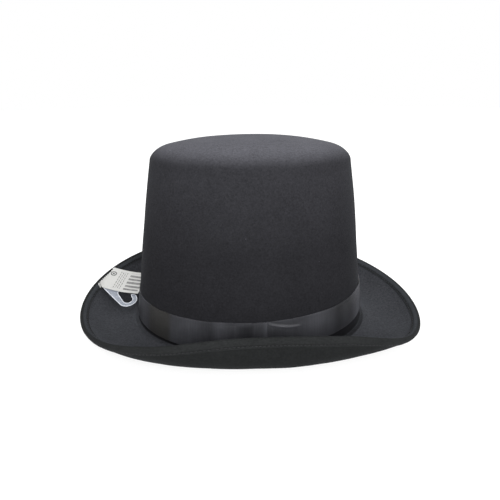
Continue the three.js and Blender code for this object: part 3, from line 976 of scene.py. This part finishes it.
def make_hem():
    angle = columns(HEM_STITCHES * 5)
    inset, above = hem_section()
    stitch = np.cos(angle * HEM_STITCHES)
    outer = (np.abs(above) > HEM_INSIDE + 0.01) & (inset > 1.6)
    pull = bump(inset, HEM_STITCH_INSET, 0.75) * (0.16 - 0.14 * stitch)
    slack = 0.12 * np.sin(17 * angle) * bump(inset, 4, 1.6)
    uneven = np.where(outer, (slack - pull) * np.sign(above), 0)
    wander = 0.25 * np.sin(11 * angle + 1) + 0.18 * np.sin(29 * angle)
    lip = np.where(inset > 6, wander * 0.5, 0)
    grid = on_hem(angle, inset + lip, above + uneven)
    hem = sweep("brim_hem", grid)
    # The hem's upper side is painted lighter, like the brim, as painted top light; its edges and
    # the stitched groove keep the dark colour, as painted shade.
    groove = 0.9 * bump(inset, HEM_STITCH_INSET + 0.2, 0.75)
    lit_top_shaded_groove = window(inset, 1.4, 7.2, 0.7) * (1 - groove) * (above > HEM_INSIDE + 0.01)
    mark_points(hem, "lit_top_shaded_groove", np.broadcast_to(lit_top_shaded_groove, grid.shape[:2]))
    dress(hem, HEM_FELT, replaced=["brim_edge_binding"])
    start = np.linspace(0, TURN, HEM_STITCHES, endpoint=False) + 0.14 * TURN / HEM_STITCHES
    end = start + 0.72 * TURN / HEM_STITCHES
    for side, name in ((1, "hem_stitches_top"), (-1, "hem_stitches_under")):
        height = side * HEM_STITCH_HEIGHT
        lines = [on_hem(x, HEM_STITCH_INSET, height) for x in (start, end)]
        ups = on_hem(start, HEM_STITCH_INSET, height + side) - lines[0]
        dress(capsules(name, *lines, ups, 0.24), THREAD)


# ---- Tag ----

def smooth_outline():
    """The strip and its hook, as points (a, b): the CAD outline with rounder corners."""
    centre = np.array(HOOK_CENTRE)
    inner_radius, outer_radius = HOOK_RADII

    def arc(radius, start, end, count):
        turn = np.linspace(start, end, count)
        return [tuple(centre + radius * np.array([math.cos(x), math.sin(x)])) for x in turn]

    return [
        (STRIP_START, STRIP_HALF_WIDTH), (STRIP_START, -STRIP_HALF_WIDTH), (2.1, -13.9),
        (3.0, -15.2),
        *arc(outer_radius, -2.13, 0.95, 40),
        (35.4, -14.6), (34.6, -14.0), (33.6, -13.9), (32.7, -14.1), (31.6, -14.5), (30.9, -15.0),
        (31.3, -16.0), (32.2, -17.2),
        *arc(inner_radius, 0.95, -2.36, 34),
        (19.6, -17.9), (18.4, -16.6), (18.0, -15.6), (18.0, -STRIP_HALF_WIDTH),
        (STRIP_LENGTH, -STRIP_HALF_WIDTH), (STRIP_LENGTH, STRIP_HALF_WIDTH),
    ]


def tag_hook():
    """Fills the outline, with its edges rounded, and lays it in the tag's frame."""
    curve = bpy.data.curves.new("tag_hook_outline", "CURVE")
    curve.dimensions = "2D"
    curve.fill_mode = "BOTH"
    rounding = 0.2
    curve.extrude = (STRIP_HEIGHT - rounding) * MM
    curve.bevel_depth = rounding * MM
    curve.bevel_resolution = 3
    curve.offset = -rounding * MM
    outline = smooth_outline()
    spline = curve.splines.new("POLY")
    spline.points.add(len(outline) - 1)
    for point, (a, b) in zip(spline.points, outline):
        point.co = (a * MM, b * MM, 0, 1)
    spline.use_cyclic_u = True
    holder = put_in_scene("tag_hook_outline", curve)
    bpy.context.view_layer.update()
    graph = bpy.context.evaluated_depsgraph_get()
    mesh = bpy.data.meshes.new_from_object(holder.evaluated_get(graph))
    bpy.data.objects.remove(holder)
    bpy.data.curves.remove(curve)
    mesh.name = "tag_hook"
    solid = bmesh.new()
    solid.from_mesh(mesh)
    bmesh.ops.remove_doubles(solid, verts=solid.verts, dist=1e-6)
    # The outline is filled with long faces, which are cut across so that they can sag.
    for a in range(2, 40):
        parts = solid.verts[:] + solid.edges[:] + solid.faces[:]
        bmesh.ops.bisect_plane(
            solid, geom=parts, dist=1e-7, plane_co=(a * MM, 0, 0), plane_no=(1, 0, 0),
        )
    for vertex in solid.verts:
        vertex.co.z += (STRIP_HEIGHT + tag_sag(vertex.co.x / MM)) * MM
    bmesh.ops.transform(solid, matrix=TAG, verts=solid.verts)
    solid.to_mesh(mesh)
    solid.free()
    return finished("tag_hook", mesh, sharp=40)


def label_height(a, b):
    """The card's lift off the strip: curled at the free end, with a few soft waves."""
    free = np.clip(a / LABEL_LENGTH, 0, 1)
    side = np.abs(b / LABEL_HALF_WIDTH)
    curl = 0.9 * free ** 2 * (0.4 + 0.6 * side ** 2)
    waves = 0.35 * free * (1 + np.sin(b / 2.3 + a / 30))
    return curl + waves + 0.2 * side ** 3


def tag_label():
    """Card with a pinked edge next to the hinge."""
    across = np.linspace(-LABEL_HALF_WIDTH, LABEL_HALF_WIDTH, LABEL_TEETH * 8 + 1)
    tooth = np.abs((across + LABEL_HALF_WIDTH) / (2 * LABEL_HALF_WIDTH) * LABEL_TEETH % 1 - 0.5)
    start = LABEL_TOOTH_DEPTH * 2 * tooth
    share = np.linspace(0, 1, 40)
    a = start[:, None] + (LABEL_LENGTH - start[:, None]) * share[None]
    b = across[:, None]
    faces = [in_tag(a, b, height + label_height(a, b)) for height in LABEL_HEIGHTS[::-1]]
    piece = sweep(
        "tag_label_card", layer(*faces), wrap=False, sharp=35,
        along=np.zeros(len(across)), across=np.zeros(2 * len(share)),
    )
    # The UV map is the place on the tag, which is where the printed marks are measured.
    layer_data = piece.data.uv_layers["weave"].data
    back = TAG.inverted()
    for loop in piece.data.loops:
        place = back @ piece.data.vertices[loop.vertex_index].co
        layer_data[loop.index].uv = (place.x, place.y)
    return piece


def tag_pad():
    """A pinked sticky pad that follows the hem's inner face."""
    share = np.linspace(0, 1, PAD_TEETH * 8 + 1)[:, None]
    angle = np.radians(PAD_DEGREES[0] + (PAD_DEGREES[1] - PAD_DEGREES[0]) * share)
    edge = PAD_INSETS[0] + 2 * LABEL_TOOTH_DEPTH * np.abs(share * PAD_TEETH % 1 - 0.5)
    inset = PAD_INSETS[1] + (edge - PAD_INSETS[1]) * np.linspace(0, 1, 12)[None]
    rounding = 0.12 * (window(inset, edge + 0.5, PAD_INSETS[1] - 0.5, 0.5) - 1)
    top = on_hem(angle, inset, PAD_HEIGHTS[1] + rounding)
    foot = on_hem(angle, inset, PAD_HEIGHTS[0])
    return sweep(
        "tag_pad_patch", layer(top, foot), wrap=False, sharp=60,
        along=np.zeros(angle.size), across=np.zeros(2 * inset.shape[1]),
    )


def tag_bead():
    """The thicker rim that runs round the strip's hook."""
    outline = np.array(smooth_outline())
    line = outline[1:-2]
    ahead = np.gradient(line, axis=0)
    ahead /= np.linalg.norm(ahead, axis=1, keepdims=True)
    side = np.stack([-ahead[:, 1], ahead[:, 0]], 1)
    turn = np.linspace(0, TURN, 8, endpoint=False)[None]
    reach = BEAD_RADIUS * (1 + np.cos(turn)) * 0.8
    a = line[:, :1] + side[:, :1] * reach
    b = line[:, 1:] + side[:, 1:] * reach
    grid = in_tag(a, b, STRIP_HEIGHT + BEAD_RADIUS * np.sin(turn))
    return sweep("tag_hook_bead", grid, wrap=False, sharp=60)


def tag_crease():
    """The thin web that joins the pad to the strip."""
    share = np.linspace(0, 1, 22)[:, None]
    angle = np.radians(CREASE_DEGREES[0] + (CREASE_DEGREES[1] - CREASE_DEGREES[0]) * share)
    b = CREASE_SIDES[0] + (CREASE_SIDES[1] - CREASE_SIDES[0]) * share
    ends = [
        on_hem(angle, 2.6, 2.9), on_hem(angle, 0.7, 3.1),
        in_tag(-0.7, b, 0.5), in_tag(2.2, b, 0.42),
    ]
    t = np.linspace(0, 1, 16)[None, :, None]
    weights = [(1 - t) ** 3, 3 * t * (1 - t) ** 2, 3 * t ** 2 * (1 - t), t ** 3]
    middle = sum(weight * end for weight, end in zip(weights, ends))
    normal = np.cross(np.gradient(middle, axis=0), np.gradient(middle, axis=1))
    normal /= np.linalg.norm(normal, axis=-1, keepdims=True)
    lift_off = CREASE_HALF_THICKNESS * normal
    piece = sweep("tag_crease", layer(middle + lift_off, middle - lift_off), wrap=False)
    start, end = (Vector(side[:, 0].mean(axis=0) * MM) + ORIGIN for side in (ends[1], ends[3]))
    return piece, start, end


def make_tag():
    hook = dress(tag_hook(), PLASTIC, body="tag", replaced=["hang_hook"])
    dress(tag_label(), PAPER, body="tag", replaced=["tag_label"])
    bead = dress(tag_bead(), BEAD, body="tag")
    # Clear plastic throws next to no shadow.
    hook.visible_shadow = False
    bead.visible_shadow = False
    dress(tag_pad(), PAPER, replaced=["tag_pad"])
    crease, start, end = tag_crease()
    crease.data.materials.append(PAPER)
    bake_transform(crease)


def dress_wire():
    """The wire and its sleeve are the CAD's own, in steel."""
    for name in ("brim_wire", "brim_wire_joiner"):
        materials = frame["nodes"][name].data.materials
        materials.clear()
        materials.append(STEEL)


# ---- Studio ----

LOOK_HEIGHT = 60
CAMERA_PLACE = (0, -404.6, 213.0)
CAMERA_LENS = 33.89
CAMERA_ROLL = 0.006
CAMERA_SHIFT = (0.0022, 0.0006)


def make_camera():
    data = bpy.data.cameras.new("camera")
    data.lens = CAMERA_LENS
    data.sensor_width = 36
    data.shift_x, data.shift_y = CAMERA_SHIFT
    data.clip_start = 0.01
    camera = put_in_scene("camera", data)
    place = Vector(CAMERA_PLACE)
    look = Vector((0, 0, LOOK_HEIGHT)) - place
    turn = look.to_track_quat("-Z", "Y").to_matrix().to_4x4()
    roll = Matrix.Rotation(-CAMERA_ROLL, 4, "Z")
    camera.matrix_world = Matrix.Translation(ORIGIN + place * MM) @ turn @ roll
    bpy.context.scene.camera = camera


# In metres.
FLOOR_RADIUS = 3.0
FLOOR_DEPTHS = (0.0002, 0.0102)


def make_floor():
    """A round plate just under the hat."""
    mesh = bpy.data.meshes.new("floor")
    angles = columns(128)[:, 0]
    rim = [(FLOOR_RADIUS * math.cos(x), FLOOR_RADIUS * math.sin(x)) for x in angles]
    vertices = [(x, y, -depth) for depth in FLOOR_DEPTHS for x, y in rim]
    count = len(rim)
    faces = [list(range(count)), list(range(2 * count - 1, count - 1, -1))]
    faces += [[i, count + i, count + (i + 1) % count, (i + 1) % count] for i in range(count)]
    mesh.from_pydata(vertices, [], faces)
    mesh.materials.append(studio_floor("pale_floor", (0.36, 0.36, 0.36)))
    put_in_scene("floor", mesh)


ROOM_LIGHT = 1.0
SOFTBOX_AIM = Vector((0, 0, 0.08))
# The place and size of each softbox, in metres, and its power in watts.
SOFTBOXES = {
    "ceiling": ((0, 0.4, 4), (9, 9), 40),
    "back": ((0.45, 0.9, 0.9), (1.2, 0.7), 5),
    "top": ((0, -0.1, 1.1), (0.5, 0.5), 4.5),
    "front": ((0.18, -1.2, 0.55), (0.9, 0.6), 21),
}


def make_light():
    """An even white room, with softboxes above, behind and in front of the hat."""
    world = bpy.data.worlds.new("studio")
    world.use_nodes = True
    room = world.node_tree.nodes["Background"].inputs
    room["Color"].default_value = (1.0, 1.0, 1.0, 1)
    room["Strength"].default_value = ROOM_LIGHT
    bpy.context.scene.world = world
    bpy.context.scene.view_settings.view_transform = "Standard"
    for name, (place, size, power) in SOFTBOXES.items():
        data = bpy.data.lights.new(name + "_softbox", "AREA")
        data.shape = "RECTANGLE"
        data.size, data.size_y = size
        data.energy = power
        light = put_in_scene(name + "_softbox", data)
        light.location = place
        light.rotation_mode = "QUATERNION"
        light.rotation_quaternion = (SOFTBOX_AIM - Vector(place)).to_track_quat("-Z", "Y")
        light.visible_camera = False


make_camera()
make_crown()
make_inside()
make_ribbon()
make_brim()
make_hem()
make_tag()
dress_wire()
make_floor()
make_light()
